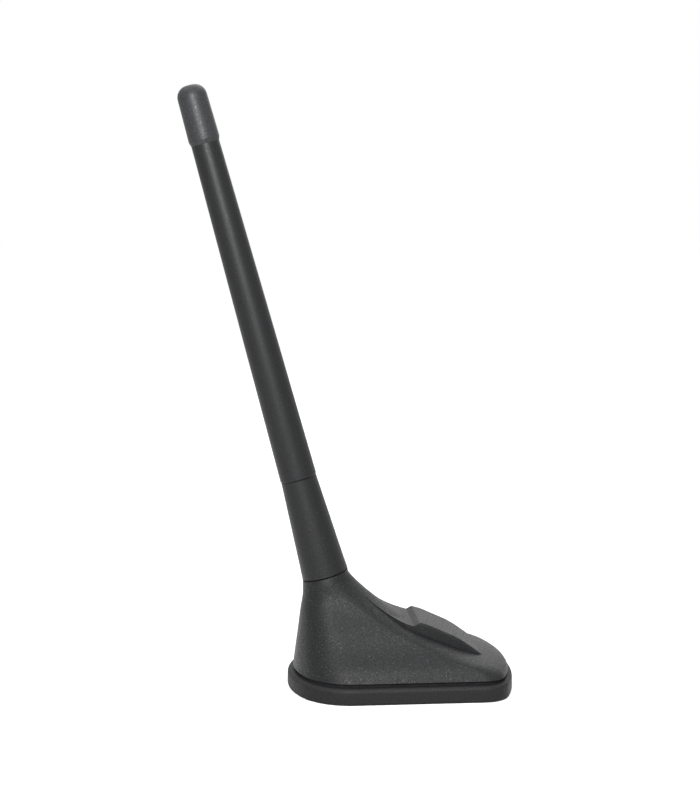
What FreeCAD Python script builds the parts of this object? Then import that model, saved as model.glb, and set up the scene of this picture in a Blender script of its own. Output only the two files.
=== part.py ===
"""Vehicle roof antenna: a raked screw-on mast on a moulded base that seals to the roof.

Millimetres. +Z is up and +X is the vehicle's forward direction. The origin is the centre of
the roof screw bush on the underside of the seal, where the antenna meets the roof.
"""
import FreeCAD, Part
import Sketcher
import math
import os

from FreeCAD import Placement, Rotation, Vector

UP = Vector(0, 0, 1)
SIDE = Vector(0, 1, 0)

# Driving dimensions: alias, value, meaning
SIZES = [
    ("base_length", 86.0, "seal, front to rear"),
    ("base_width", 60.0, "seal, side to side"),
    ("rear_bow", 41.0, "plan radius of the rear end"),
    ("rear_corner", 21.5, "plan radius of the rear corners"),
    ("front_bow", 67.0, "plan radius of the front end"),
    ("front_corner", 10.0, "plan radius of the front corners"),
    ("seal_height", 6.3, "height of the rubber seal"),
    ("seal_floor", 2.0, "rubber under the base plate"),
    ("seal_lip", 2.6, "rubber round the base plate"),
    ("seal_round", 1.6, "rounded upper edge of the seal"),
    ("seal_foot_round", 1.0, "rounded lower edge of the seal"),
    ("plate_clearance", 0.1, "base plate to seal"),
    ("plinth_height", 1.5, "shadow gap between seal and cover"),
    ("plinth_inset", 3.0, "edge of the plinth inside the seal's edge"),
    ("cover_inset", 1.6, "edge of the cover inside the seal's edge"),
    ("rear_set_in", 0.5, "cover set in further at the rear"),
    ("wall", 2.0, "cover wall"),
    ("neck_setback", 14.5, "mast seat from the rear end"),
    ("neck_z", 43.1, "mast seat, height"),
    ("neck_radius", 8.87, "top of the neck"),
    ("collar_drop", 4.0, "flared collar of the neck below its top"),
    ("collar_radius", 9.95, "flared collar of the neck"),
    ("mast_lean", 15.1, "rake of the mast from upright, degrees"),
    ("spine_half_width", 13.5, "half the width of the raised spine"),
    ("spine_round", 0.8, "rounded upper edges of the spine"),
    ("foot_gap", 0.5, "seam between the neck and the mast's foot"),
    ("sleeve_length", 38.0, "foot sleeve of the mast"),
    ("sleeve_top_radius", 6.8, "upper end of the foot sleeve"),
    ("tube_foot_radius", 7.0, "mast tube at its foot"),
    ("tube_top_radius", 5.3, "mast tube under the tip cap"),
    ("tube_length", 129.7, "mast tube that shows"),
    ("cap_length", 21.8, "tip cap"),
    ("cap_foot_radius", 5.8, "tip cap at its lower edge"),
    ("cap_top_radius", 5.45, "tip cap below its dome"),
    ("cap_chamfer", 1.6, "lower edge of the tip cap"),
    ("spigot_length", 12.0, "tube end inside the tip cap"),
    ("slip", 0.05, "clearance of turned fits"),
    ("stud_radius", 2.9, "screw stud of the mast"),
    ("stud_length", 12.0, "screw stud below the mast's foot"),
    ("ferrule_length", 44.0, "ferrule above the mast's foot"),
    ("socket_radius", 5.2, "threaded socket in the neck"),
    ("socket_length", 15.0, "threaded socket in the neck"),
    ("rod_radius", 2.0, "glass-fibre rod inside the mast"),
    ("rod_seat", 8.0, "rod held inside the ferrule"),
    ("winding_thickness", 0.5, "aerial winding on the rod"),
    ("spacer_length", 3.0, "centring rings inside the mast"),
    ("ferrule_radius", 4.0, "ferrule inside the foot sleeve"),
    ("spigot_radius", 4.7, "tube end inside the tip cap"),
    ("cap_round", 4.4, "dome of the tip cap"),
    ("flare_height", 5.0, "flared foot of the sleeve"),
    ("flare", 0.05, "flared foot of the sleeve"),
    ("ring_inner", 3.2, "foot ring, inside radius"),
    ("ring_outer", 5.0, "foot ring, outside radius"),
    ("ring_height", 1.2, "foot ring"),
    ("turn_pitch", 6.0, "pitch of the aerial windings"),
    ("spacer_drop", 8.7, "upper spacer below the tip cap"),
    ("short_winding_start", 56.0, "telephone winding above the mast's foot"),
    ("bush_bore", 6.5, "roof screw thread, inside radius"),
    ("bush_radius", 9.0, "roof screw bush"),
    ("bush_height", 6.8, "roof screw bush"),
    ("bush_flange_radius", 11.0, "flange of the bush on the base plate"),
    ("tray_floor", 5.3, "upper face of the base plate's floor"),
    ("rim_width", 3.5, "rim of the base plate"),
    ("counterbore", 2.0, "screw heads inside the base plate"),
    ("head_slack", 0.4, "round a screw head"),
    ("post_inset", 4.0, "board posts inside the board's edges"),
    ("board_screw_radius", 1.0, "board screws"),
    ("board_head_radius", 1.9, "board screws"),
    ("board_head_height", 1.2, "board screws"),
    ("board_screw_length", 4.0, "board screws below the head"),
    ("patch_metal", 0.4, "silvered face of the patch aerial"),
    ("patch_margin", 2.5, "bare edge of the patch aerial"),
    ("feed_radius", 1.2, "feed post under the socket"),
    ("feed_clearance", 0.4, "feed post above the board"),
    ("coax_side", 5.0, "coaxial socket on the board"),
    ("coax_height", 3.0, "coaxial socket on the board"),
    ("coax_bore", 1.3, "mouth of a coaxial socket"),
    ("coax_gap", 8.0, "between the middles of the coaxial sockets"),
    ("coax_x", -14.0, "coaxial sockets along the board"),
    ("board_end_room", 16.0, "circuit board from the ends of the seal, on average"),
    ("board_width", 30.0, "circuit board"),
    ("board_thickness", 1.6, "circuit board"),
    ("board_x", -1.0, "middle of the circuit board"),
    ("post_height", 4.2, "board posts on the base plate"),
    ("post_radius", 2.6, "board posts on the base plate"),
    ("patch_side", 18.0, "satellite patch aerial"),
    ("patch_height", 4.0, "satellite patch aerial"),
    ("can_gap", 2.1, "screening can to the front board screws"),
    ("can_height", 3.5, "screening can under the patch"),
    ("can_side", 20.0, "screening can under the patch"),
    ("screw_radius", 1.4, "cover screws"),
    ("screw_head_radius", 2.6, "cover screws"),
    ("screw_head_height", 1.6, "cover screws"),
    ("screw_bite", 3.4, "cover screws inside the cover's bosses"),
    ("boss_radius", 3.0, "screw bosses inside the cover"),
    ("rear_screw_inset", 17.0, "rear cover screws from the rear end"),
    ("rear_screw_edge", 11.8, "rear cover screws from the sides"),
    ("front_screw_inset", 12.0, "front cover screws from the front end"),
    ("front_screw_edge", 19.0, "front cover screws from the sides"),
]

doc = FreeCAD.newDocument("roof_antenna")
sheet = doc.addObject("Spreadsheet::Sheet", "Sizes")
for row, (alias, value, meaning) in enumerate(SIZES, start=1):
    sheet.set(f"A{row}", meaning)
    sheet.set(f"B{row}", str(value))
    sheet.setAlias(f"B{row}", alias)
doc.recompute()

pieces = {}


def size(alias):
    """Value of one cell of the sheet."""
    return float(sheet.get(alias))


def bind(obj, **expressions):
    """Ties properties to the sheet. Aliases are written bare, and __ stands for a dot."""
    for name, text in expressions.items():
        obj.setExpression(name.replace("__", "."), tied(text))


def tied(text):
    """The same expression with every alias named as a cell of the sheet."""
    words = []
    word = ""
    for letter in text + " ":
        if letter.isalnum() or letter == "_":
            word += letter
            continue
        words.append(f"Sizes.{word}" if word in ALIASES else word)
        words.append(letter)
        word = ""
    return "".join(words).strip()


ALIASES = {alias for alias, value, meaning in SIZES}


def keep(label, obj):
    """Names a finished piece."""
    obj.Label = label
    pieces[label] = obj
    return obj


def plane_of(body, role):
    """One of a body's own origin planes."""
    return next(f for f in body.Origin.OriginFeatures if f.Role == role)


def on_mast(piece):
    """Sets a piece that is turned about its own Z onto the mast's axis, foot at the neck."""
    piece.Placement = Placement(Vector(), Rotation(-SIDE, size("mast_lean")))
    bind(
        piece,
        Placement__Base__x=f"{NECK_X} * 1mm",
        Placement__Base__z="neck_z * 1mm",
        Placement__Rotation__Angle="mast_lean * 1deg",
    )
    return piece


def turned(label, profile):
    """A body turned about its own Z axis.

    profile lists (radius, height) expressions round the closed half section.
    """
    body = doc.addObject("PartDesign::Body", label + "_body")
    sketch = body.newObject("Sketcher::SketchObject", label + "_section")
    sketch.AttachmentSupport = [(plane_of(body, "XZ_Plane"), "")]
    sketch.MapMode = "FlatFace"
    corners = [Vector(value_of(r), value_of(h), 0) for r, h in profile]
    count = len(corners)
    for k in range(count):
        sketch.addGeometry(Part.LineSegment(corners[k], corners[(k + 1) % count]), False)
    for k in range(count):
        sketch.addConstraint(Sketcher.Constraint("Coincident", k, 2, (k + 1) % count, 1))
    for k, (radius, height) in enumerate(profile):
        place_point(sketch, k, radius, height, corners[k])
    turn = body.newObject("PartDesign::Revolution", label + "_turn")
    turn.Profile = sketch
    turn.ReferenceAxis = (sketch, ["V_Axis"])
    turn.Angle = 360
    body.Tip = turn
    return keep(label, body)


def place_point(sketch, edge, across, along, corner):
    """Pins the first point of an edge at two expressions, or on an axis where one is zero."""
    if abs(corner.x) < 1e-9:
        sketch.addConstraint(Sketcher.Constraint("PointOnObject", edge, 1, -2))
    else:
        mark = sketch.addConstraint(Sketcher.Constraint("DistanceX", -1, 1, edge, 1, corner.x))
        sketch.setExpression(f"Constraints[{mark}]", tied(across))
    if abs(corner.y) < 1e-9:
        sketch.addConstraint(Sketcher.Constraint("PointOnObject", edge, 1, -1))
    else:
        mark = sketch.addConstraint(Sketcher.Constraint("DistanceY", -1, 1, edge, 1, corner.y))
        sketch.setExpression(f"Constraints[{mark}]", tied(along))


def value_of(text):
    """Number that an expression of aliases gives, worked out in a spare cell of the sheet."""
    sheet.set("D1", "=" + text)
    sheet.recompute()
    return float(sheet.get("D1"))


def plan_edges(rear, front, half, rear_bow, rear_corner, front_bow, front_corner):
    """Arcs and lines of a plan outline, symmetrical about X, as Part geometry in order.

    The rear end is a bow between two corner arcs, the sides are straight, and the front end
    is a flatter bow between two smaller corners.
    """
    rear_centre = rear + rear_bow
    front_centre = front - front_bow
    rear_y = half - rear_corner
    front_y = half - front_corner
    rear_x = rear_centre - math.sqrt((rear_bow - rear_corner) ** 2 - rear_y**2)
    front_x = front_centre + math.sqrt((front_bow - front_corner) ** 2 - front_y**2)
    rear_turn = math.atan2(rear_y, rear_x - rear_centre)
    front_turn = math.atan2(front_y, front_x - front_centre)
    quarter = math.pi / 2

    def arc(x, y, radius, start, end):
        return Part.ArcOfCircle(Part.Circle(Vector(x, y, 0), UP, radius), start, end)

    return [
        arc(front_centre, 0, front_bow, -front_turn, front_turn),
        arc(front_x, front_y, front_corner, front_turn, quarter),
        Part.LineSegment(Vector(front_x, half, 0), Vector(rear_x, half, 0)),
        arc(rear_x, rear_y, rear_corner, quarter, rear_turn),
        arc(rear_centre, 0, rear_bow, rear_turn, 2 * math.pi - rear_turn),
        arc(rear_x, -rear_y, rear_corner, 2 * math.pi - rear_turn, 3 * quarter),
        Part.LineSegment(Vector(rear_x, -half, 0), Vector(front_x, -half, 0)),
        arc(front_x, -front_y, front_corner, -quarter, -front_turn),
    ]


def base_outline(inset):
    """Plan outline of the base, a stated distance inside the seal's edge."""
    half_length = size("base_length") / 2 - inset
    return plan_edges(
        -half_length,
        half_length,
        size("base_width") / 2 - inset,
        size("rear_bow") - inset,
        size("rear_corner") - inset,
        size("front_bow") - inset,
        size("front_corner") - inset,
    )


def plan_sketch(body, label, inset, level):
    """Sketch of the base outline at a level, pinned to the sheet."""
    sketch = body.newObject("Sketcher::SketchObject", label)
    sketch.AttachmentSupport = [(plane_of(body, "XY_Plane"), "")]
    sketch.MapMode = "FlatFace"
    bind(sketch, AttachmentOffset__Base__z=f"({level}) * 1mm")
    edges = base_outline(value_of(inset))
    for edge in edges:
        sketch.addGeometry(edge, False)
    count = len(edges)
    for k in range(count):
        sketch.addConstraint(Sketcher.Constraint("Tangent", k, 2, (k + 1) % count, 1))
    front_bow, front_left, left, rear_left, rear_bow, rear_right, right, front_right = range(count)
    for edge in (front_bow, rear_bow):
        sketch.addConstraint(Sketcher.Constraint("PointOnObject", edge, 3, -1))
    sketch.addConstraint(Sketcher.Constraint("Equal", front_left, front_right))
    sketch.addConstraint(Sketcher.Constraint("Equal", rear_left, rear_right))
    sketch.addConstraint(Sketcher.Constraint("Horizontal", left))
    sketch.addConstraint(Sketcher.Constraint("Horizontal", right))
    for edge, alias in (
        (front_bow, "front_bow"),
        (front_left, "front_corner"),
        (rear_bow, "rear_bow"),
        (rear_left, "rear_corner"),
    ):
        radius = size(alias) - value_of(inset)
        mark = sketch.addConstraint(Sketcher.Constraint("Radius", edge, radius))
        sketch.setExpression(f"Constraints[{mark}]", tied(f"{alias} - ({inset})"))
    for edge, text in (
        (front_bow, "base_length / 2 - front_bow"),
        (rear_bow, "rear_bow - base_length / 2"),
    ):
        mark = sketch.addConstraint(
            Sketcher.Constraint("DistanceX", -1, 1, edge, 3, value_of(text))
        )
        sketch.setExpression(f"Constraints[{mark}]", tied(text))
    for edge, text in (
        (left, f"base_width / 2 - ({inset})"),
        (right, f"({inset}) - base_width / 2"),
    ):
        mark = sketch.addConstraint(
            Sketcher.Constraint("DistanceY", -1, 1, edge, 1, value_of(text))
        )
        sketch.setExpression(f"Constraints[{mark}]", tied(text))
    return sketch


def plan_pad(body, label, inset, level, height):
    """Adds a slab of the base outline to a body."""
    pad = body.newObject("PartDesign::Pad", label)
    pad.Profile = plan_sketch(body, label + "_outline", inset, level)
    bind(pad, Length=f"({height}) * 1mm")
    body.Tip = pad
    return pad


def plan_pocket(body, label, inset, level, depth):
    """Cuts a recess of the base outline downwards from a level."""
    pocket = body.newObject("PartDesign::Pocket", label)
    pocket.Profile = plan_sketch(body, label + "_outline", inset, level)
    bind(pocket, Length=f"({depth}) * 1mm")
    body.Tip = pocket
    return pocket


def round_pocket(body, label, level, depth, marks):
    """Cuts round holes downwards from a level. marks lists (x, y, radius) expressions."""
    sketch = body.newObject("Sketcher::SketchObject", label + "_circles")
    sketch.AttachmentSupport = [(plane_of(body, "XY_Plane"), "")]
    sketch.MapMode = "FlatFace"
    bind(sketch, AttachmentOffset__Base__z=f"({level}) * 1mm")
    circles(sketch, marks)
    pocket = body.newObject("PartDesign::Pocket", label)
    pocket.Profile = sketch
    bind(pocket, Length=f"({depth}) * 1mm")
    body.Tip = pocket
    return pocket


def round_pad(body, label, level, height, marks):
    """Adds round posts upwards from a level. marks lists (x, y, radius) expressions."""
    sketch = body.newObject("Sketcher::SketchObject", label + "_circles")
    sketch.AttachmentSupport = [(plane_of(body, "XY_Plane"), "")]
    sketch.MapMode = "FlatFace"
    bind(sketch, AttachmentOffset__Base__z=f"({level}) * 1mm")
    circles(sketch, marks)
    pad = body.newObject("PartDesign::Pad", label)
    pad.Profile = sketch
    bind(pad, Length=f"({height}) * 1mm")
    body.Tip = pad
    return pad


def circles(sketch, marks):
    """Draws circles pinned to expressions for their centres and radii."""
    for x, y, radius in marks:
        centre = Vector(value_of(x), value_of(y), 0)
        mark = sketch.addGeometry(Part.Circle(centre, UP, value_of(radius)), False)
        tie = sketch.addConstraint(Sketcher.Constraint("Radius", mark, value_of(radius)))
        sketch.setExpression(f"Constraints[{tie}]", tied(radius))
        for kind, text, place, axis in (
            ("DistanceX", x, centre.x, -2),
            ("DistanceY", y, centre.y, -1),
        ):
            if abs(place) < 1e-9:
                sketch.addConstraint(Sketcher.Constraint("PointOnObject", mark, 3, axis))
                continue
            tie = sketch.addConstraint(Sketcher.Constraint(kind, -1, 1, mark, 3, place))
            sketch.setExpression(f"Constraints[{tie}]", tied(text))


def slab(name, length, width, height, x, y, z):
    """A box by its middle in plan and its lower face."""
    box = doc.addObject("Part::Box", name)
    bind(
        box,
        Length=f"({length}) * 1mm",
        Width=f"({width}) * 1mm",
        Height=f"({height}) * 1mm",
        Placement__Base__x=f"(({x}) - ({length}) / 2) * 1mm",
        Placement__Base__y=f"(({y}) - ({width}) / 2) * 1mm",
        Placement__Base__z=f"({z}) * 1mm",
    )
    return box


def round_bar(name, radius, height, x, y, z):
    """An upright cylinder by its axis and its lower face."""
    bar = doc.addObject("Part::Cylinder", name)
    bind(
        bar,
        Radius=f"({radius}) * 1mm",
        Height=f"({height}) * 1mm",
        Placement__Base__x=f"({x}) * 1mm",
        Placement__Base__y=f"({y}) * 1mm",
        Placement__Base__z=f"({z}) * 1mm",
    )
    return bar


def cut(name, base, tool):
    """One solid less another."""
    result = doc.addObject("Part::Cut", name)
    result.Base = base
    result.Tool = tool
    return result


NECK_X = "(neck_setback - base_length / 2)"
BOARD_LENGTH = "(base_length - 2 * board_end_room)"
REAR_SCREW_X = "rear_screw_inset - base_length / 2"
REAR_SCREW_Y = "base_width / 2 - rear_screw_edge"
FRONT_SCREW_X = "base_length / 2 - front_screw_inset"
FRONT_SCREW_Y = "base_width / 2 - front_screw_edge"
COVER_SCREWS = {
    "rear_left": (REAR_SCREW_X, REAR_SCREW_Y),
    "rear_right": (REAR_SCREW_X, f"-({REAR_SCREW_Y})"),
    "front_left": (FRONT_SCREW_X, FRONT_SCREW_Y),
    "front_right": (FRONT_SCREW_X, f"-({FRONT_SCREW_Y})"),
}
POST_X = f"{BOARD_LENGTH} / 2 - post_inset"
POST_Y = "board_width / 2 - post_inset"
BOARD_SCREWS = {
    "rear_left": (f"board_x - ({POST_X})", POST_Y),
    "rear_right": (f"board_x - ({POST_X})", f"-({POST_Y})"),
    "front_left": (f"board_x + ({POST_X})", POST_Y),
    "front_right": (f"board_x + ({POST_X})", f"-({POST_Y})"),
}
PATCH_X = f"board_x + {POST_X} - board_head_radius - can_gap - can_side / 2"
BOARD_UNDER = "tray_floor + post_height"
BOARD_TOP = f"{BOARD_UNDER} + board_thickness"
COVER_FOOT = "seal_height + plinth_height"
FEED_END = f"({BOARD_TOP} + feed_clearance - neck_z) / cos(mast_lean * 1deg)"

# Rubber seal: a tray of rubber that the base plate drops into
seal = doc.addObject("PartDesign::Body", "seal_body")
plan_pad(seal, "seal_slab", "0", "0", "seal_height")
plan_pocket(seal, "seal_recess", "seal_lip", "seal_height", "seal_height - seal_floor")
round_pocket(seal, "seal_hole", "seal_height", "seal_height", [("0", "0", "bush_radius + head_slack")])
doc.recompute()


def outer_edges(shape, level):
    """Names of the edges of the seal's outer outline at a level."""
    outline = Part.Wire([edge.toShape() for edge in base_outline(0)])
    names = []
    for number, edge in enumerate(shape.Edges, start=1):
        box = edge.BoundBox
        middle = edge.valueAt((edge.FirstParameter + edge.LastParameter) / 2)
        point = Part.Vertex(Vector(middle.x, middle.y, 0))
        flat = max(abs(box.ZMin - level), abs(box.ZMax - level)) < 1e-6
        if flat and point.distToShape(outline)[0] < 0.01:
            names.append(f"Edge{number}")
    return names


tray = seal.Tip
rims = outer_edges(tray.Shape, size("seal_height"))
rounding = seal.newObject("PartDesign::Fillet", "seal_rounding")
rounding.Base = (tray, rims)
bind(rounding, Radius="seal_round * 1mm")
doc.recompute()
foot_rims = outer_edges(rounding.Shape, 0.0)
foot_rounding = seal.newObject("PartDesign::Fillet", "seal_foot_rounding")
foot_rounding.Base = (rounding, foot_rims)
bind(foot_rounding, Radius="seal_foot_round * 1mm")
seal.Tip = foot_rounding
keep("roof_seal", seal)

# Base plate: a die-cast tray with a plinth for the cover and posts for the board
plate = doc.addObject("PartDesign::Body", "plate_body")
plan_pad(plate, "plate_slab", "seal_lip + plate_clearance", "seal_floor", "seal_height - seal_floor")
plan_pad(plate, "plate_plinth", "plinth_inset", "seal_height", "plinth_height")
plan_pocket(plate, "plate_tray", "plinth_inset + rim_width", COVER_FOOT, f"{COVER_FOOT} - tray_floor")
round_pad(
    plate,
    "plate_posts",
    "tray_floor",
    "post_height",
    [(x, y, "post_radius") for x, y in BOARD_SCREWS.values()],
)
round_pocket(
    plate,
    "plate_bush_hole",
    "tray_floor",
    "tray_floor - seal_floor",
    [("0", "0", "bush_radius + slip")],
)
round_pocket(
    plate,
    "plate_screw_holes",
    "tray_floor",
    "tray_floor - seal_floor",
    [(x, y, "screw_radius + slip") for x, y in COVER_SCREWS.values()],
)
round_pocket(
    plate,
    "plate_counterbores",
    "seal_floor + counterbore",
    "counterbore",
    [(x, y, "screw_head_radius + head_slack") for x, y in COVER_SCREWS.values()],
)
round_pocket(
    plate,
    "plate_post_holes",
    BOARD_UNDER,
    "board_screw_length - board_thickness + head_slack",
    [(x, y, "board_screw_radius + slip") for x, y in BOARD_SCREWS.values()],
)
keep("base_plate", plate)

# Roof screw bush: threaded, hollow for the cables
turned(
    "roof_bush",
    [
        ("bush_bore", "0"),
        ("bush_radius", "0"),
        ("bush_radius", "tray_floor"),
        ("bush_flange_radius", "tray_floor"),
        ("bush_flange_radius", "bush_height"),
        ("bush_bore", "bush_height"),
    ],
)

# Screws of the cover and of the board
for place, (x, y) in COVER_SCREWS.items():
    screw = turned(
        f"cover_screw_{place}",
        [
            ("0", "seal_floor + counterbore - screw_head_height"),
            ("screw_head_radius", "seal_floor + counterbore - screw_head_height"),
            ("screw_head_radius", "seal_floor + counterbore"),
            ("screw_radius", "seal_floor + counterbore"),
            ("screw_radius", "tray_floor + screw_bite"),
            ("0", "tray_floor + screw_bite"),
        ],
    )
    bind(screw, Placement__Base__x=f"({x}) * 1mm", Placement__Base__y=f"({y}) * 1mm")
for place, (x, y) in BOARD_SCREWS.items():
    screw = turned(
        f"board_screw_{place}",
        [
            ("0", f"{BOARD_TOP} - board_screw_length"),
            ("board_screw_radius", f"{BOARD_TOP} - board_screw_length"),
            ("board_screw_radius", BOARD_TOP),
            ("board_head_radius", BOARD_TOP),
            ("board_head_radius", f"{BOARD_TOP} + board_head_height"),
            ("0", f"{BOARD_TOP} + board_head_height"),
        ],
    )
    bind(screw, Placement__Base__x=f"({x}) * 1mm", Placement__Base__y=f"({y}) * 1mm")

# Circuit board with its screening can, patch aerial and coaxial sockets
board = doc.addObject("PartDesign::Body", "board_body")
board_pad = board.newObject("PartDesign::AdditiveBox", "board_slab")
board_pad.AttachmentSupport = [(plane_of(board, "XY_Plane"), "")]
board_pad.MapMode = "FlatFace"
bind(
    board_pad,
    Length=f"{BOARD_LENGTH} * 1mm",
    Width="board_width * 1mm",
    Height="board_thickness * 1mm",
    AttachmentOffset__Base__x=f"(board_x - {BOARD_LENGTH} / 2) * 1mm",
    AttachmentOffset__Base__y="-board_width / 2 * 1mm",
    AttachmentOffset__Base__z=f"({BOARD_UNDER}) * 1mm",
)
board.Tip = board_pad
round_pocket(
    board,
    "board_holes",
    BOARD_TOP,
    "board_thickness",
    [(x, y, "board_screw_radius + slip") for x, y in BOARD_SCREWS.values()],
)
keep("circuit_board", board)
PATCH_FOOT = f"{BOARD_TOP} + can_height"
keep("screening_can", slab("can", "can_side", "can_side", "can_height", PATCH_X, "0", BOARD_TOP))
keep("patch_aerial", slab("patch", "patch_side", "patch_side", "patch_height", PATCH_X, "0", PATCH_FOOT))
PATCH_TOP = f"{PATCH_FOOT} + patch_height"
metal_side = "patch_side - 2 * patch_margin"
keep("patch_metal", slab("metal", metal_side, metal_side, "patch_metal", PATCH_X, "0", PATCH_TOP))
for place, offset in (("left", "coax_gap / 2"), ("right", "-coax_gap / 2")):
    block = slab(f"coax_block_{place}", "coax_side", "coax_side", "coax_height", "coax_x", offset, BOARD_TOP)
    mouth = round_bar(
        f"coax_mouth_{place}",
        "coax_bore",
        "coax_height",
        "coax_x",
        offset,
        f"{BOARD_TOP} + coax_height / 3",
    )
    keep(f"coax_socket_{place}", cut(f"coax_{place}", block, mouth))

# Threaded socket in the neck, its nut and its feed post
on_mast(
    turned(
        "mast_socket",
        [
            ("stud_radius + slip", "0"),
            ("socket_radius", "0"),
            ("socket_radius", "-socket_length"),
            ("0", "-socket_length"),
            ("0", "1 - socket_length"),
            ("stud_radius + slip", "1 - socket_length"),
        ],
    )
)
on_mast(
    turned(
        "feed_post",
        [
            ("0", "-socket_length"),
            ("feed_radius", "-socket_length"),
            ("feed_radius", FEED_END),
            ("0", FEED_END),
        ],
    )
)

# Moulded cover: a hull from the base outline up to the raked neck, with a raised spine
SECTION_FRACTIONS = [
    (0.000, 0.000, 0.000),
    (0.095, 0.056, 0.085),
    (0.185, 0.205, 0.205),
    (0.300, 0.378, 0.375),
    (0.470, 0.595, 0.570),
    (0.660, 0.770, 0.790),
]
NECK_SPLITS = [-35, 35, 80, 100, 145, 215, 260, 280, 325]
# Spine profile: share of the base length ahead of its middle, share of the neck height
BACK_SHARES = [
    (-0.2267, 0.9745),
    (-0.1686, 0.8445),
    (-0.1058, 0.7471),
    (-0.0605, 0.6868),
    (-0.0012, 0.6241),
    (0.0488, 0.5893),
]
HUMP_SHARES = [
    (0.0733, 0.6172),
    (0.1105, 0.5963),
    (0.1570, 0.5545),
    (0.2430, 0.4733),
    (0.2919, 0.4084),
    (0.3360, 0.3411),
    (0.3640, 0.2923),
]


def spine_points(shares):
    """Points of the spine's upper profile as (x, z)."""
    return [(x * size("base_length"), z * size("neck_z")) for x, z in shares]


def mast_point(along):
    """A point on the mast's axis, a distance above the neck's seat."""
    lean = math.radians(size("mast_lean"))
    return Vector(
        value_of(NECK_X) - along * math.sin(lean),
        0,
        size("neck_z") + along * math.cos(lean),
    )


def mast_axis():
    """Direction of the mast, upwards."""
    lean = math.radians(size("mast_lean"))
    return Vector(-math.sin(lean), 0, math.cos(lean))


def hull_section(height, forward, narrow, inset):
    """One level of the hull as a closed wire, moved in and down by an inset."""
    foot = value_of(COVER_FOOT)
    margin = size("cover_inset")
    end = size("base_length") / 2 - margin
    rear = size("rear_set_in") - end
    radius = size("neck_radius")
    level = foot + height * (size("neck_z") - foot)
    neck_front = value_of(NECK_X) + radius
    neck_rear = value_of(NECK_X) - 0.87 * radius
    edges = plan_edges(
        blend(rear, neck_rear, height) + inset,
        end + forward * (neck_front - end) - inset,
        blend(size("base_width") / 2 - margin, radius, narrow) - inset,
        blend(size("rear_bow") - margin, radius * 1.05, narrow) - inset,
        blend(size("rear_corner") - margin, radius * 0.98, narrow) - inset,
        blend(size("front_bow") - margin, radius * 1.05, narrow) - inset,
        blend(size("front_corner") - margin, radius * 0.98, narrow) - inset,
    )
    wire = Part.Wire([edge.toShape() for edge in edges])
    wire.translate(Vector(0, 0, level - inset))
    return wire


def blend(first, last, fraction):
    """A value part of the way between two others."""
    return first + fraction * (last - first)


def neck_ring(along, radius):
    """A round section of the neck as eight arcs that answer the hull's eight edges."""
    arcs = []
    for start, end in zip(NECK_SPLITS[:-1], NECK_SPLITS[1:]):
        circle = Part.Circle(Vector(), UP, radius)
        arcs.append(Part.ArcOfCircle(circle, math.radians(start), math.radians(end)).toShape())
    ring = Part.Wire(arcs)
    ring.Placement = Placement(mast_point(along), Rotation(-SIDE, size("mast_lean")))
    return ring


def spine_solid(inset):
    """The raised spine and its hump, moved in and down by an inset."""
    half = size("spine_half_width") - inset
    low = value_of(COVER_FOOT) + size("wall") / 4
    drop = Vector(0, 0, -inset)
    back = [Vector(x, 0, z) + drop for x, z in spine_points(BACK_SHARES)]
    hump = [Vector(x, 0, z) + drop for x, z in spine_points(HUMP_SHARES)]
    back_curve = Part.BSplineCurve()
    back_curve.interpolate(back)
    hump_curve = Part.BSplineCurve()
    hump_curve.interpolate(hump)
    root = size("neck_radius")
    tail = back[0] - Vector(root / 2, 0, root)
    heel = Vector(tail.x, 0, low)
    toe = Vector(hump[-1].x - inset, 0, low)
    outline = [
        back_curve.toShape(),
        Part.makeLine(back[-1], hump[0]),
        hump_curve.toShape(),
        Part.makeLine(hump[-1], toe),
        Part.makeLine(toe, heel),
        Part.makeLine(heel, tail),
        Part.makeLine(tail, back[0]),
    ]
    side = Part.Face(Part.Wire(outline)).extrude(Vector(0, 2 * half, 0))
    side.translate(Vector(0, -half, 0))
    if inset == 0:
        side = rounded_hump(side, hump[0].x, size("spine_round"))
    beyond = 1.1 * half
    corner = 0.3 * half
    plan = [
        (tail.x, 0.33 * half),
        (back[0].x, 0.36 * half),
        (back[-1].x, beyond),
        (toe.x - corner, beyond),
        (toe.x + corner / 4, half - corner),
    ]
    corners = [Vector(x, y, 0) for x, y in plan] + [Vector(x, -y, 0) for x, y in reversed(plan)]
    block = Part.Face(Part.makePolygon(corners + corners[:1])).extrude(2 * size("neck_z") * UP)
    return side.common(block)


def rounded_hump(solid, start, radius):
    """Rounds the two long upper edges of the hump, where its top meets its sides."""
    edges = []
    for edge in solid.Edges:
        box = edge.BoundBox
        along = box.YLength < radius and box.XMin > start - radius
        if along and box.XLength > start and box.ZMax > size("neck_z") / 2:
            edges.append(edge)
    return solid.makeFillet(radius, edges)


doc.recompute()
sections = [hull_section(*row, 0) for row in SECTION_FRACTIONS]
collar = neck_ring(-size("collar_drop"), size("collar_radius"))
hull = Part.makeLoft(sections + [collar, neck_ring(0, size("neck_radius"))], True, False)
outside = hull.fuse(spine_solid(0)).removeSplitter()
wall = size("wall")
cavity = Part.makeLoft([hull_section(*row, wall) for row in SECTION_FRACTIONS], True, True)
shell = outside.cut(cavity).cut(spine_solid(wall))
for x, y in COVER_SCREWS.values():
    foot = Vector(value_of(x), value_of(y), size("tray_floor"))
    boss = Part.makeCylinder(size("boss_radius"), size("neck_z"), foot)
    stub = Part.makeCylinder(size("boss_radius"), size("screw_bite"), foot)
    inside = boss.common(outside.fuse(stub))
    column = max(inside.Solids, key=lambda solid: solid.Volume)
    pilot_radius = size("screw_radius") + size("slip")
    pilot_depth = size("screw_bite") + size("head_slack")
    pilot = Part.makeCylinder(pilot_radius, pilot_depth, foot)
    shell = shell.fuse(column).cut(pilot)
bore_reach = 1.3 * size("socket_length")
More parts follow.
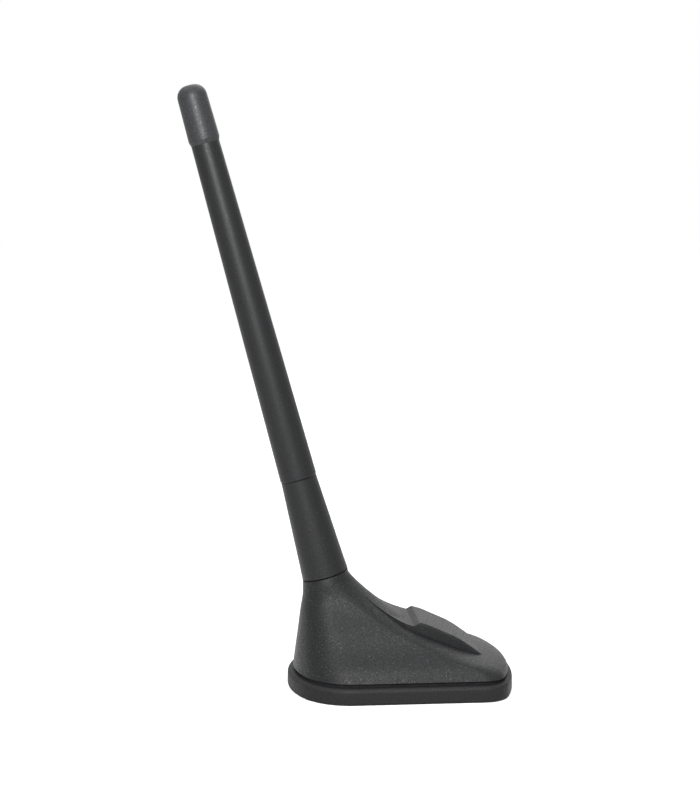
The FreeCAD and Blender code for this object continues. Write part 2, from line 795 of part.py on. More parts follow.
bore = Part.makeCylinder(
    size("socket_radius") + size("slip"),
    2 * bore_reach,
    mast_point(-bore_reach),
    mast_axis(),
)
shell = shell.cut(bore).removeSplitter()
cover = doc.addObject("Part::Feature", "cover_shell")
cover.Shape = max(shell.Solids, key=lambda solid: solid.Volume)
keep("cover", cover)

# Mast: foot ring, screw ferrule, sleeve, tube, cap, and the wound rod inside
SLEEVE_TOP = "foot_gap + sleeve_length"
CAP_FOOT = f"{SLEEVE_TOP} + tube_length"
CAP_TOP = f"{CAP_FOOT} + cap_length"
FERRULE_TOP = "ring_height + ferrule_length"
BORE = "ferrule_radius + slip"
SPIGOT_TOP = f"{CAP_FOOT} + spigot_length"
RADIO_TURNS = 12
TELEPHONE_TURNS = 3
UPPER_SPACER = f"{CAP_FOOT} - spacer_drop"
RADIO_START = f"{UPPER_SPACER} - ({RADIO_TURNS} + 0.25) * turn_pitch"
on_mast(
    turned(
        "foot_ring",
        [
            ("ring_inner", "0"),
            ("ring_outer", "0"),
            ("ring_outer", "ring_height"),
            ("ring_inner", "ring_height"),
        ],
    )
)
on_mast(
    turned(
        "screw_ferrule",
        [
            ("0", "-stud_length"),
            ("stud_radius - 0.6", "-stud_length"),
            ("stud_radius", "0.6 - stud_length"),
            ("stud_radius", "ring_height"),
            ("ferrule_radius", "ring_height"),
            ("ferrule_radius", FERRULE_TOP),
            ("rod_radius + slip", FERRULE_TOP),
            ("rod_radius + slip", f"{FERRULE_TOP} - rod_seat"),
            ("0", f"{FERRULE_TOP} - rod_seat"),
        ],
    )
)
on_mast(
    turned(
        "foot_sleeve",
        [
            ("ring_outer + 0.3", "foot_gap"),
            ("neck_radius", "foot_gap"),
            (
                "neck_radius - flare - (neck_radius - sleeve_top_radius) * flare_height / sleeve_length",
                "foot_gap + flare_height",
            ),
            ("sleeve_top_radius", SLEEVE_TOP),
            (BORE, SLEEVE_TOP),
            (BORE, "ring_height + 0.3"),
            ("ring_outer + 0.3", "ring_height + 0.3"),
        ],
    )
)
on_mast(
    turned(
        "mast_tube",
        [
            (BORE, SLEEVE_TOP),
            ("tube_foot_radius - 0.4", SLEEVE_TOP),
            ("tube_foot_radius", f"{SLEEVE_TOP} + 0.6"),
            ("tube_top_radius", CAP_FOOT),
            ("spigot_radius", CAP_FOOT),
            ("spigot_radius", SPIGOT_TOP),
            (BORE, SPIGOT_TOP),
        ],
    )
)
cap = turned(
    "tip_cap",
    [
        ("spigot_radius + slip", CAP_FOOT),
        ("tube_top_radius", CAP_FOOT),
        ("cap_foot_radius", f"{CAP_FOOT} + cap_chamfer"),
        ("cap_top_radius", CAP_TOP),
        ("0", CAP_TOP),
        ("0", f"{SPIGOT_TOP} + slip"),
        ("spigot_radius + slip", f"{SPIGOT_TOP} + slip"),
    ],
)
doc.recompute()
plug = cap.Tip
rims = [
    f"Edge{number}"
    for number, edge in enumerate(plug.Shape.Edges, start=1)
    if edge.BoundBox.ZMin > value_of(CAP_TOP) - 0.01 and isinstance(edge.Curve, Part.Circle)
]
dome = cap.newObject("PartDesign::Fillet", "cap_dome")
dome.Base = (plug, rims)
bind(dome, Radius="cap_round * 1mm")
cap.Tip = dome
on_mast(cap)
on_mast(
    turned(
        "core_rod",
        [
            ("0", f"{FERRULE_TOP} - rod_seat"),
            ("rod_radius", f"{FERRULE_TOP} - rod_seat"),
            ("rod_radius", f"{SPIGOT_TOP} - 1"),
            ("0", f"{SPIGOT_TOP} - 1"),
        ],
    )
)


def winding(label, start, turns):
    """Close turns of wire on the rod as one ridged sleeve."""
    inner = "rod_radius + slip"
    crest = f"{inner} + winding_thickness"
    profile = [(inner, start)]
    for turn in range(turns):
        profile.append((f"{inner} + winding_thickness / 3", f"{start} + {turn} * turn_pitch"))
        profile.append((crest, f"{start} + ({turn} + 0.5) * turn_pitch"))
    profile.append((f"{inner} + winding_thickness / 3", f"{start} + {turns} * turn_pitch"))
    profile.append((inner, f"{start} + {turns} * turn_pitch"))
    return on_mast(turned(label, profile))


winding("radio_winding", RADIO_START, RADIO_TURNS)
winding("telephone_winding", "short_winding_start", TELEPHONE_TURNS)
for label, start in (
    ("lower_spacer", f"short_winding_start + ({TELEPHONE_TURNS} + 0.25) * turn_pitch"),
    ("upper_spacer", UPPER_SPACER),
):
    on_mast(
        turned(
            label,
            [
                ("rod_radius + slip", start),
                ("ferrule_radius", start),
                ("ferrule_radius", f"{start} + spacer_length"),
                ("rod_radius + slip", f"{start} + spacer_length"),
            ],
        )
    )

doc.recompute()
for item in doc.Objects:
    if "Invalid" in item.State or "Error" in item.State:
        raise RuntimeError(f"{item.Name} did not build: {item.State}")
os.makedirs("parts", exist_ok=True)
for label, piece in pieces.items():
    shape = piece.Shape
    if shape.isNull() or not shape.isValid():
        raise RuntimeError(f"{label} has no sound shape")
    print(label, len(shape.Solids), round(shape.Volume, 1))
    shape.exportStep(f"parts/{label}.step")
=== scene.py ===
"""Dressed scene of a vehicle roof antenna with a raked screw-on mast.

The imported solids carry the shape. This script gives every solid its finish, cuts the thread
that shows when the mast is unscrewed, and sets the studio round the antenna. Metres, +Z up,
+X towards the front of the vehicle.
"""

import logging
import math
from dataclasses import dataclass
from enum import Enum
from functools import lru_cache
from typing import Any, Callable, Dict, List, Tuple

import bpy
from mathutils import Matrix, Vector

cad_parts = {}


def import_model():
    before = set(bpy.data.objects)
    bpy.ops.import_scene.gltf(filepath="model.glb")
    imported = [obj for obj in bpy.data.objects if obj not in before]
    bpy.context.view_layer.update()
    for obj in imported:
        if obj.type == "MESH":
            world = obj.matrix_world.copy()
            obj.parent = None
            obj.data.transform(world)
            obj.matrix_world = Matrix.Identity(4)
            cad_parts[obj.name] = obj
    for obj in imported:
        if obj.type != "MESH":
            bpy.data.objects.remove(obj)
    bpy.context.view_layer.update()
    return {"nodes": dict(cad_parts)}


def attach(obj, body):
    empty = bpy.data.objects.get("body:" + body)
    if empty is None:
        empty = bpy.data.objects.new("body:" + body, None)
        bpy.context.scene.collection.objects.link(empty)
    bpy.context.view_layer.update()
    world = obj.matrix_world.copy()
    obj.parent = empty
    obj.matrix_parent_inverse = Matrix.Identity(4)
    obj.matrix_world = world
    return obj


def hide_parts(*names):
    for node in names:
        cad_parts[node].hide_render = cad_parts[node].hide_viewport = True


log = logging.getLogger("roof_antenna")

Colour = Tuple[float, float, float]
Point = Tuple[float, float, float]
MM = 0.001

# Rake of the mast, and its seat on the neck.
MAST_LEAN = math.radians(15.1)
MAST_FOOT: Point = (-28.5 * MM, 0.0, 43.1 * MM)

# The grain's noise, and the span of its value over which the gloss changes.
NOISE_DETAIL = 3.0
NOISE_ROUGHNESS = 0.6
GLOSS_LOW = 0.30
GLOSS_HIGH = 0.70

# Values of the grain where the colour is darkest, where its mottle is lightest, and where the
# painted glints start: a lighter colour on the brightest grains that stands in for glints of
# light.
DARK_STOP = 0.35
LIGHT_STOP = 0.66
PAINTED_GLINT_STOP = 0.72

# A face points along the axis where its normal reaches this far along it.
FACING = 0.9
# Points closer than this are one point.
WELD = 0.001 * MM


class Grain(Enum):
    """Surface textures of the antenna's materials."""

    SPARK_ERODED = "spark_eroded"
    MATT_SKIN = "matt_skin"
    RUBBER_SKIN = "rubber_skin"
    CAST = "cast"
    TURNED = "turned"
    ROLLED = "rolled"
    FIRED = "fired"
    WOUND = "wound"


@dataclass(frozen=True)
class GrainRecipe:
    """How one grain is drawn.

    Attributes:
        pitch: Distance between neighbouring grains in metres.
        depth: Height of the grain's bump in metres.
        strength: Share of the bump that reaches the surface.
        mottle: How far the colour swings from dark to light, as a share of the colour.
        gloss_swing: How far the roughness swings to either side.
        stretch: How dense the grain is along each axis of the piece, the last along the mast.
        painted_glint: How much lighter than the colour the few brightest grains are painted, as a
            share of it. This paints glints of light into the colour.
    """

    pitch: float
    depth: float
    strength: float
    mottle: float
    gloss_swing: float = 0.06
    stretch: Point = (1.0, 1.0, 1.0)
    painted_glint: float = 0.0


# Pitch, depth, strength, mottle, gloss swing, stretch and painted glint of each grain. The painted
# glint is a lighter colour on the brightest grains, standing in for glints of light.
GRAINS: Dict[Grain, GrainRecipe] = {
    Grain.SPARK_ERODED: GrainRecipe(0.50 * MM, 0.16 * MM, 0.90, 0.60, 0.14, painted_glint=9.0),
    Grain.MATT_SKIN: GrainRecipe(0.42 * MM, 0.08 * MM, 0.55, 0.45, 0.09, painted_glint=4.0),
    Grain.RUBBER_SKIN: GrainRecipe(0.60 * MM, 0.08 * MM, 0.50, 0.35, 0.06),
    Grain.CAST: GrainRecipe(1.20 * MM, 0.12 * MM, 0.50, 0.20, 0.10),
    Grain.TURNED: GrainRecipe(0.30 * MM, 0.01 * MM, 0.40, 0.10, 0.08, (0.03, 0.03, 1.0)),
    Grain.ROLLED: GrainRecipe(0.35 * MM, 0.01 * MM, 0.30, 0.08, 0.08, (0.04, 1.0, 1.0)),
    Grain.FIRED: GrainRecipe(0.80 * MM, 0.03 * MM, 0.35, 0.12, 0.08),
    Grain.WOUND: GrainRecipe(0.25 * MM, 0.02 * MM, 0.40, 0.15, 0.06, (0.10, 0.10, 1.0)),
}


@dataclass(frozen=True)
class Finish:
    """A material of the antenna.

    Attributes:
        name: Name of the material.
        colour: Linear base colour.
        roughness: Middle roughness of the shader.
        grain: Texture of the surface.
        metallic: 1 for bare metal, 0 for anything else.
        specular: Specular level of the shader.
    """

    name: str
    colour: Colour
    roughness: float
    grain: Grain
    metallic: float = 0.0
    specular: float = 0.5

    @lru_cache(maxsize=None)
    def material(self) -> bpy.types.Material:
        """Builds the material once and returns it after that.

        Returns:
            The node material of this finish.
        """
        made = bpy.data.materials.new(self.name)
        made.use_nodes = True
        shader = made.node_tree.nodes["Principled BSDF"]
        shader.inputs["Metallic"].default_value = self.metallic
        shader.inputs["Specular IOR Level"].default_value = self.specular
        noise = self._noise(made.node_tree)
        self._colour(made.node_tree, noise, shader)
        self._gloss(made.node_tree, noise, shader)
        self._relief(made.node_tree, noise, shader)
        made.diffuse_color = (*self.colour, 1.0)
        return made

    @property
    def recipe(self) -> GrainRecipe:
        """Sizes of this finish's grain."""
        return GRAINS[self.grain]

    def _noise(self, tree: bpy.types.NodeTree) -> bpy.types.NodeSocket:
        """Draws the grain that colour, gloss and relief share.

        Args:
            tree: Node tree of the material.

        Returns:
            The grain's value, from 0 to 1.
        """
        place = tree.nodes.new("ShaderNodeTexCoord")
        turn = tree.nodes.new("ShaderNodeMapping")
        turn.vector_type = "TEXTURE"
        turn.inputs["Rotation"].default_value = (0.0, -MAST_LEAN, 0.0)
        turn.inputs["Scale"].default_value = tuple(1.0 / share for share in self.recipe.stretch)
        noise = tree.nodes.new("ShaderNodeTexNoise")
        noise.inputs["Scale"].default_value = 1.0 / self.recipe.pitch
        noise.inputs["Detail"].default_value = NOISE_DETAIL
        noise.inputs["Roughness"].default_value = NOISE_ROUGHNESS
        tree.links.new(place.outputs["Object"], turn.inputs["Vector"])
        tree.links.new(turn.outputs["Vector"], noise.inputs["Vector"])
        return noise.outputs["Fac"]

    def _colour(
        self,
        tree: bpy.types.NodeTree,
        noise: bpy.types.NodeSocket,
        shader: bpy.types.Node,
    ) -> None:
        """Mottles the colour with the grain, and paints glints of light as a lighter colour on the
        brightest grains.

        Args:
            tree: Node tree of the material.
            noise: The grain's value.
            shader: The material's shader.
        """
        swing = self.recipe.mottle
        ramp = tree.nodes.new("ShaderNodeValToRGB")
        stops = ramp.color_ramp.elements
        shares = [(DARK_STOP, 1.0 - swing), (LIGHT_STOP, 1.0 + swing)]
        # Painted glints: the brightest grains get a colour many times lighter, standing in for
        # glints of light off the grain.
        if self.recipe.painted_glint:
            stops.new(LIGHT_STOP)
            shares.append((PAINTED_GLINT_STOP, 1.0 + self.recipe.painted_glint))
        for element, (position, share) in zip(stops, shares):
            element.position = position
            element.color = (*(min(1.0, channel * share) for channel in self.colour), 1.0)
        tree.links.new(noise, ramp.inputs["Fac"])
        tree.links.new(ramp.outputs["Color"], shader.inputs["Base Color"])

    def _gloss(
        self,
        tree: bpy.types.NodeTree,
        noise: bpy.types.NodeSocket,
        shader: bpy.types.Node,
    ) -> None:
        """Varies the roughness with the grain.

        Args:
            tree: Node tree of the material.
            noise: The grain's value.
            shader: The material's shader.
        """
        swing = tree.nodes.new("ShaderNodeMapRange")
        swing.inputs["From Min"].default_value = GLOSS_LOW
        swing.inputs["From Max"].default_value = GLOSS_HIGH
        swing.inputs["To Min"].default_value = self.roughness + self.recipe.gloss_swing
        swing.inputs["To Max"].default_value = self.roughness - self.recipe.gloss_swing
        tree.links.new(noise, swing.inputs["Value"])
        tree.links.new(swing.outputs["Result"], shader.inputs["Roughness"])

    def _relief(
        self,
        tree: bpy.types.NodeTree,
        noise: bpy.types.NodeSocket,
        shader: bpy.types.Node,
    ) -> None:
        """Raises the grain on the surface.

        Args:
            tree: Node tree of the material.
            noise: The grain's value.
            shader: The material's shader.
        """
        bump = tree.nodes.new("ShaderNodeBump")
        bump.inputs["Strength"].default_value = self.recipe.strength
        bump.inputs["Distance"].default_value = self.recipe.depth
        tree.links.new(noise, bump.inputs["Height"])
        tree.links.new(bump.outputs["Normal"], shader.inputs["Normal"])


COVER_PLASTIC = Finish(
    "grained_cover_plastic", (0.0085, 0.0088, 0.0093), 0.47, Grain.SPARK_ERODED, specular=0.15
)
MAST_PLASTIC = Finish(
    "satin_mast_plastic", (0.0075, 0.0078, 0.0083), 0.45, Grain.MATT_SKIN, specular=0.19
)
CAP_PLASTIC = Finish(
    "satin_cap_plastic", (0.0200, 0.0206, 0.0218), 0.46, Grain.MATT_SKIN, specular=0.22
)
SEAL_RUBBER = Finish(
    "matt_seal_rubber", (0.0100, 0.0101, 0.0106), 0.62, Grain.RUBBER_SKIN, specular=0.15
)
# Base plate coloured near black to paint the shade in the gap between the cover and the seal,
# where its plinth shows.
GAP_SHADE_CAST = Finish(
    "casting_darkened_for_gap_shade", (0.012, 0.012, 0.013), 0.70, Grain.CAST, specular=0.10
)
BRASS = Finish("turned_brass", (0.71, 0.50, 0.20), 0.28, Grain.TURNED, metallic=1.0)
TINPLATE = Finish("rolled_tinplate", (0.62, 0.62, 0.60), 0.30, Grain.ROLLED, metallic=1.0)
STEEL = Finish("plated_steel", (0.48, 0.48, 0.49), 0.32, Grain.ROLLED, metallic=1.0)
CERAMIC = Finish("fired_patch_ceramic", (0.62, 0.52, 0.38), 0.55, Grain.FIRED)
SILVER = Finish("fired_silver", (0.78, 0.78, 0.76), 0.38, Grain.FIRED, metallic=1.0)
BOARD_LACQUER = Finish("board_lacquer", (0.012, 0.085, 0.030), 0.35, Grain.FIRED)
COPPER = Finish("lacquered_copper", (0.66, 0.27, 0.13), 0.25, Grain.WOUND, metallic=1.0)
GLASS_FIBRE = Finish("drawn_glass_fibre", (0.60, 0.57, 0.42), 0.40, Grain.ROLLED)
SPACER_PLASTIC = Finish("pale_spacer_plastic", (0.62, 0.62, 0.60), 0.50, Grain.MATT_SKIN)


@dataclass
class SubAssembly:
    """Pieces that move as one rigid body.

    Attributes:
        body: Name of the body that the pieces ride on.
        smooth_angle: Edges sharper than this stay crisp, in degrees.
    """

    body: str = "base"
    smooth_angle: float = 28.0

    def finishes(self) -> Dict[str, Finish]:
        """Says how each solid is finished.

        Returns:
            The finish of each solid by its node name.
        """
        return {}

    def build(self) -> List[bpy.types.Object]:
        """Makes the pieces that this sub-assembly adds to the solids.

        Returns:
            The new pieces, none unless a sub-assembly says otherwise.
        """
        return []

    def dress(self, nodes: Dict[str, bpy.types.Object]) -> None:
        """Puts its finish on every solid and smooths the shading of round faces.

        Args:
            nodes: The frame's solids by name.
        """
        for name, finish in self.finishes().items():
            self.paint(nodes[name], finish)
            log.info("%s: %s in %s", self.body, name, finish.name)

    def paint(self, piece: bpy.types.Object, finish: Finish) -> None:
        """Gives one piece its finish and smooths the shading of its round faces.

        Args:
            piece: Object to paint.
            finish: Finish of the whole piece.
        """
        piece.data.materials.clear()
        piece.data.materials.append(finish.material())
        select_only(piece)
        bpy.ops.object.shade_smooth_by_angle(angle=math.radians(self.smooth_angle))


@dataclass
class BaseAssembly(SubAssembly):
    """The part that stays on the roof.

    Attributes:
        screw_places: Where the four screws of each kind sit.
        sides: Where the two coaxial sockets sit.
    """

    body: str = "base"
    screw_places: Tuple[str, ...] = ("rear_left", "rear_right", "front_left", "front_right")
    sides: Tuple[str, ...] = ("left", "right")

    def finishes(self) -> Dict[str, Finish]:
        """Says how each solid of the base is finished.

        Returns:
            The finish of each solid by its node name.
        """
        table = {
            "cover": COVER_PLASTIC,
            "roof_seal": SEAL_RUBBER,
            # The base plate's near-black colour paints the shade in the gap under the cover.
            "base_plate": GAP_SHADE_CAST,
            "roof_bush": BRASS,
            "mast_socket": BRASS,
            "feed_post": BRASS,
            "circuit_board": BOARD_LACQUER,
            "screening_can": TINPLATE,
            "patch_aerial": CERAMIC,
            "patch_metal": SILVER,
        }
        for side in self.sides:
            table[f"coax_socket_{side}"] = BRASS
        for place in self.screw_places:
            table[f"cover_screw_{place}"] = STEEL
            table[f"board_screw_{place}"] = STEEL
        return table


@dataclass
class RingAssembly(SubAssembly):
    """The rubber ring under the mast's foot."""

    body: str = "foot_ring_body"

    def finishes(self) -> Dict[str, Finish]:
        """Says how the ring is finished.

        Returns:
            The finish of the ring by its node name.
        """
        return {"foot_ring": SEAL_RUBBER}


@dataclass
class MastAssembly(SubAssembly):
    """The mast that screws into the base. Heights are along the mast, from its seat.

    Attributes:
        stud_radius: Radius of the thread's crest on the stud.
        stud_length: Length of the stud below the seat.
        stud_point: Length of the stud's tapered point.
        thread_pitch: Rise of the thread in one turn.
        thread_depth: Height of the thread above its root.
        thread_runout: Plain root left between the thread and the seat.
        bar_sides: Sides of the bar that the thread is wound from.
        shoulder: Height of the ferrule's shoulder.
        ferrule_radius: Radius of the ferrule above the shoulder.
        ferrule_length: Length of the ferrule above the shoulder.
        bore_radius: Radius of the bore for the wound rod.
        bore_depth: Depth of the bore for the wound rod.
        facets: Flats in one turn.
    """

    body: str = "mast"
    stud_radius: float = 2.9 * MM
    stud_length: float = 12.0 * MM
    stud_point: float = 0.6 * MM
    thread_pitch: float = 1.0 * MM
    thread_depth: float = 0.42 * MM
    thread_runout: float = 0.6 * MM
    bar_sides: int = 4
    shoulder: float = 1.2 * MM
    ferrule_radius: float = 4.0 * MM
    ferrule_length: float = 44.0 * MM
    bore_radius: float = 2.05 * MM
    bore_depth: float = 8.0 * MM
    facets: int = 48

    def finishes(self) -> Dict[str, Finish]:
        """Says how each solid of the mast is finished.

        Returns:
            The finish of each solid by its node name.
        """
        return {
            "tip_cap": CAP_PLASTIC,
            "mast_tube": MAST_PLASTIC,
            "foot_sleeve": MAST_PLASTIC,
            "core_rod": GLASS_FIBRE,
            "radio_winding": COPPER,
            "telephone_winding": COPPER,
            "lower_spacer": SPACER_PLASTIC,
            "upper_spacer": SPACER_PLASTIC,
        }

    @property
    def root_radius(self) -> float:
        """Radius of the thread's root on the stud."""
        return self.stud_radius - self.thread_depth

    def build(self) -> List[bpy.types.Object]:
        """Makes the ferrule with the thread that shows when the mast is unscrewed.

        Returns:
            The new pieces.
        """
        ferrule = self.ferrule_blank()
        thread = self.thread_ridge()
        union = ferrule.modifiers.new("thread", "BOOLEAN")
        union.operation = "UNION"
        union.solver = "EXACT"
        union.object = thread
        select_only(ferrule)
        bpy.ops.object.modifier_apply(modifier=union.name)
        bpy.data.objects.remove(thread, do_unlink=True)
        ferrule.name = "threaded_ferrule"
        self.stand_on_seat(ferrule)
        self.paint(ferrule, BRASS)
        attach(ferrule, self.body)
        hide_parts("screw_ferrule")
        return [ferrule]

    def ferrule_blank(self) -> bpy.types.Object:
        """Turns the plain ferrule: pointed root of the stud, shoulder, barrel and bore.

        Returns:
            The ferrule on the world's Z axis.
        """
        bpy.ops.object.select_all(action="DESELECT")
        low = self.stud_point - self.stud_length
        bpy.ops.mesh.primitive_cylinder_add(
            vertices=self.facets,
            radius=self.root_radius,
            depth=self.shoulder - low,
            location=(0.0, 0.0, (self.shoulder + low) / 2),
        )
        bpy.ops.object.transform_apply(location=True, rotation=True, scale=True)
        blank = bpy.context.object
        bpy.ops.object.mode_set(mode="EDIT")
        pick_faces(blank, lambda face: face.normal.z < -FACING)
        self.grow(-self.stud_point)
        self.widen(1.0 - self.stud_point / self.root_radius, -self.stud_length)
        pick_faces(blank, lambda face: face.normal.z > FACING)
        self.grow(0.0)
        self.widen(self.ferrule_radius / self.root_radius, self.shoulder)
        self.grow(self.ferrule_length)
        self.grow(0.0)
        top = self.shoulder + self.ferrule_length
        self.widen(self.bore_radius / self.ferrule_radius, top)
        self.grow(-self.bore_depth)
        bpy.ops.object.mode_set(mode="OBJECT")
        return blank

    def thread_ridge(self) -> bpy.types.Object:
        """Winds a bar up the stud. Its inner half lies in the stud's root.

        Returns:
            The ridge on the world's Z axis.
        """
        foot = self.stud_point + self.thread_depth - self.stud_length
        turns = int((-foot - self.thread_runout) / self.thread_pitch)
        bpy.ops.object.select_all(action="DESELECT")
        bpy.ops.mesh.primitive_circle_add(
            vertices=self.bar_sides,
            radius=self.thread_depth,
            location=(self.root_radius, 0.0, foot),
            rotation=(math.pi / 2, 0.0, 0.0),
        )
        bpy.ops.object.transform_apply(location=True, rotation=True, scale=True)
        ridge = bpy.context.object
        wind = ridge.modifiers.new("wind", "SCREW")
        wind.axis = "Z"
        wind.screw_offset = self.thread_pitch
        wind.iterations = turns
        wind.steps = self.facets
        wind.render_steps = self.facets
        bpy.ops.object.modifier_apply(modifier=wind.name)
        bpy.ops.object.mode_set(mode="EDIT")
        bpy.ops.mesh.select_all(action="SELECT")
        bpy.ops.mesh.remove_doubles(threshold=WELD)
        bpy.ops.mesh.fill_holes(sides=self.bar_sides)
        bpy.ops.mesh.select_all(action="SELECT")
        bpy.ops.mesh.normals_make_consistent(inside=False)
        bpy.ops.object.mode_set(mode="OBJECT")
        return ridge

    @staticmethod
    def grow(rise: float) -> None:
        """Extrudes the picked faces along Z.

        Args:
            rise: Distance in metres.
        """
        bpy.ops.mesh.extrude_region_move(TRANSFORM_OT_translate={"value": (0.0, 0.0, rise)})

    @staticmethod
    def widen(share: float, height: float) -> None:
        """Scales the picked faces about the Z axis.

        Args:
            share: New radius as a share of the old one.
            height: Height of the faces.
        """
        bpy.ops.transform.resize(
            value=(share, share, 1.0), center_override=(0.0, 0.0, height)
        )

    @staticmethod
    def stand_on_seat(piece: bpy.types.Object) -> None:
        """Moves a piece from the world's Z axis to the raked mast.

        Args:
            piece: Piece to move. Its place ends up in its mesh.
        """
        piece.rotation_euler = (0.0, -MAST_LEAN, 0.0)
        piece.location = MAST_FOOT
        select_only(piece)
        bpy.ops.object.transform_apply(location=True, rotation=True, scale=True)


@dataclass(frozen=True)
class SoftBox:
    """A square area light.

    Attributes:
        name: Name of the light.
        at: Place of the light in metres.
        towards: Point that it shines at in metres.
        side: Side of the square in metres.
        watts: Power of the light.
    """

    name: str
    at: Point
    towards: Point
    side: float
    watts: float

    def hang(self) -> None:
        """Adds the light to the scene."""
        lamp = bpy.data.lights.new(self.name, "AREA")
        lamp.shape = "SQUARE"
        lamp.size = self.side
        lamp.energy = self.watts
        light = bpy.data.objects.new(self.name, lamp)
        bpy.context.scene.collection.objects.link(light)
        light.location = self.at
        light.rotation_euler = aim(Vector(self.at), Vector(self.towards))


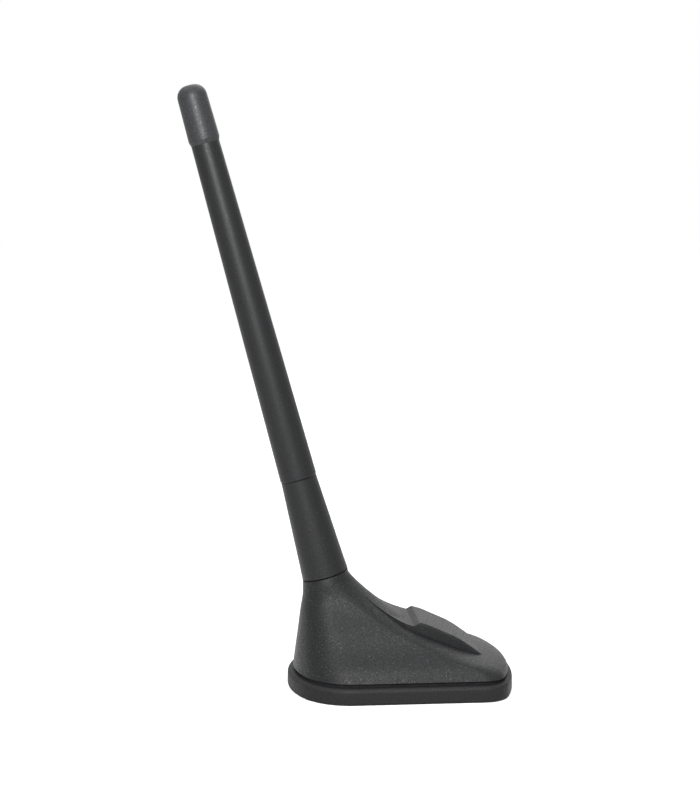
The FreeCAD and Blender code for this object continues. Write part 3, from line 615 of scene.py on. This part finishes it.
@dataclass
class Studio:
    """Floor, lights, background and camera.

    Attributes:
        camera_at: Place of the camera in metres.
        looks_at: Point that the camera looks at in metres.
        lens: Focal length in millimetres.
        sensor: Width of the camera's sensor in millimetres.
        clip: Nearest and farthest distance that the camera sees, in metres.
        floor_size: Side of the floor in metres.
        floor_seen: Grey of the floor where it is seen.
        floor_unseen: Grey of the floor where it only throws light back.
        sky_strength: Even light from all round.
        lamp_strength: Light from straight above.
        lamp_spread: Angle that the light from above fills, in degrees.
        lamp_height: Height of the light from above, in metres.
        boxes: Soft boxes round the antenna.
    """

    camera_at: Point = (-0.0725, -0.6422, 0.1947)
    looks_at: Point = (-0.0190, 0.0, 0.10987)
    lens: float = 77.6
    sensor: float = 36.0
    clip: Tuple[float, float] = (0.01, 50.0)
    floor_size: float = 8.0
    floor_seen: float = 0.97
    floor_unseen: float = 0.20
    sky_strength: float = 0.25
    lamp_strength: float = 2.5
    lamp_spread: float = 100.0
    lamp_height: float = 2.0
    boxes: Tuple[SoftBox, ...] = (
        SoftBox("key", at=(-0.085, -0.50, 0.31), towards=(-0.06, 0.0, 0.18), side=0.15, watts=5.4),
        SoftBox("back", at=(0.15, 0.70, 0.60), towards=(0.0, 0.0, 0.02), side=0.70, watts=2.5),
    )

    def build(self) -> None:
        """Builds the whole studio."""
        self.floor()
        self.background()
        self.sky_lamp()
        for box in self.boxes:
            box.hang()
        self.camera()

    def floor(self) -> None:
        """Lays a plain pale floor under the antenna."""
        bpy.ops.object.select_all(action="DESELECT")
        bpy.ops.mesh.primitive_plane_add(size=self.floor_size, location=(0.0, 0.0, 0.0))
        floor = bpy.context.object
        floor.name = "studio_floor"
        floor.data.materials.append(self.floor_paper())

    def floor_paper(self) -> bpy.types.Material:
        """Pale paper that looks white and throws only a little light back at the antenna.

        Returns:
            The floor's material.
        """
        paper = bpy.data.materials.new("floor_paper")
        paper.use_nodes = True
        tree = paper.node_tree
        tree.nodes.clear()
        grey = tree.nodes.new("ShaderNodeBsdfDiffuse")
        grey.inputs["Color"].default_value = (*[self.floor_unseen] * 3, 1.0)
        pale = tree.nodes.new("ShaderNodeBsdfDiffuse")
        pale.inputs["Color"].default_value = (*[self.floor_seen] * 3, 1.0)
        out = tree.nodes.new("ShaderNodeOutputMaterial")
        self.where_seen(tree, grey.outputs["BSDF"], pale.outputs["BSDF"], out)
        return paper

    def background(self) -> None:
        """Shows white where it is seen and lights the rest with an even grey sky."""
        world = bpy.data.worlds.new("studio_sky")
        bpy.context.scene.world = world
        world.use_nodes = True
        tree = world.node_tree
        tree.nodes.clear()
        sky = tree.nodes.new("ShaderNodeBackground")
        sky.inputs["Strength"].default_value = self.sky_strength
        white = tree.nodes.new("ShaderNodeBackground")
        white.inputs["Strength"].default_value = 1.0
        for plain in (sky, white):
            plain.inputs["Color"].default_value = (1.0, 1.0, 1.0, 1.0)
        out = tree.nodes.new("ShaderNodeOutputWorld")
        self.where_seen(tree, sky.outputs["Background"], white.outputs["Background"], out)

    @staticmethod
    def where_seen(
        tree: bpy.types.NodeTree,
        unseen: bpy.types.NodeSocket,
        seen: bpy.types.NodeSocket,
        out: bpy.types.Node,
    ) -> None:
        """Shows one shader to the camera, in reflections and through glass, and one elsewhere.

        Args:
            tree: Node tree of the floor or the world.
            unseen: Shader that only lights.
            seen: Shader that shows.
            out: Output node of the tree.
        """
        rays = tree.nodes.new("ShaderNodeLightPath")
        share = rays.outputs["Is Camera Ray"]
        for kind in ("Is Glossy Ray", "Is Transmission Ray"):
            either = tree.nodes.new("ShaderNodeMath")
            either.operation = "MAXIMUM"
            tree.links.new(share, either.inputs[0])
            tree.links.new(rays.outputs[kind], either.inputs[1])
            share = either.outputs["Value"]
        mix = tree.nodes.new("ShaderNodeMixShader")
        tree.links.new(share, mix.inputs["Fac"])
        tree.links.new(unseen, mix.inputs[1])
        tree.links.new(seen, mix.inputs[2])
        tree.links.new(mix.outputs["Shader"], out.inputs["Surface"])

    def sky_lamp(self) -> None:
        """Lights floor and antenna evenly from straight above."""
        lamp = bpy.data.lights.new("sky_lamp", "SUN")
        lamp.energy = self.lamp_strength
        lamp.angle = math.radians(self.lamp_spread)
        light = bpy.data.objects.new("sky_lamp", lamp)
        bpy.context.scene.collection.objects.link(light)
        light.location = (0.0, 0.0, self.lamp_height)

    def camera(self) -> None:
        """Sets the camera at the photograph's viewing angle."""
        lens = bpy.data.cameras.new("view")
        lens.lens = self.lens
        lens.sensor_width = self.sensor
        lens.sensor_fit = "AUTO"
        lens.clip_start, lens.clip_end = self.clip
        camera = bpy.data.objects.new("view", lens)
        bpy.context.scene.collection.objects.link(camera)
        camera.location = self.camera_at
        camera.rotation_euler = aim(Vector(self.camera_at), Vector(self.looks_at))
        bpy.context.scene.camera = camera


def aim(at: Vector, towards: Vector) -> Any:
    """Turn of a camera or light that looks at a point.

    Args:
        at: Where it stands.
        towards: Where it looks.

    Returns:
        Euler angles of the object.
    """
    return (towards - at).to_track_quat("-Z", "Y").to_euler()


def select_only(piece: bpy.types.Object) -> None:
    """Selects one piece and makes it the active one.

    Args:
        piece: Object to select.
    """
    bpy.ops.object.select_all(action="DESELECT")
    piece.select_set(True)
    bpy.context.view_layer.objects.active = piece


def pick_faces(
    piece: bpy.types.Object,
    wanted: Callable[[bpy.types.MeshPolygon], bool],
) -> None:
    """Selects faces of a piece in edit mode and leaves it in edit mode.

    Args:
        piece: The piece in edit mode.
        wanted: Says of each face whether it is picked.
    """
    bpy.ops.mesh.select_mode(type="FACE")
    bpy.ops.mesh.select_all(action="DESELECT")
    bpy.ops.object.mode_set(mode="OBJECT")
    for face in piece.data.polygons:
        face.select = wanted(face)
    bpy.ops.object.mode_set(mode="EDIT")


def main() -> None:
    """Builds and dresses the sub-assemblies in order, then sets the studio."""
    logging.basicConfig(level=logging.INFO)
    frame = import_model()
    for assembly in (BaseAssembly(), RingAssembly(), MastAssembly()):
        assembly.dress(frame["nodes"])
        for piece in assembly.build():
            log.info("%s: %s made, %d faces", assembly.body, piece.name, len(piece.data.polygons))
    Studio().build()
    bpy.context.scene.view_settings.view_transform = "Standard"


if __name__ == "__main__":
    main()
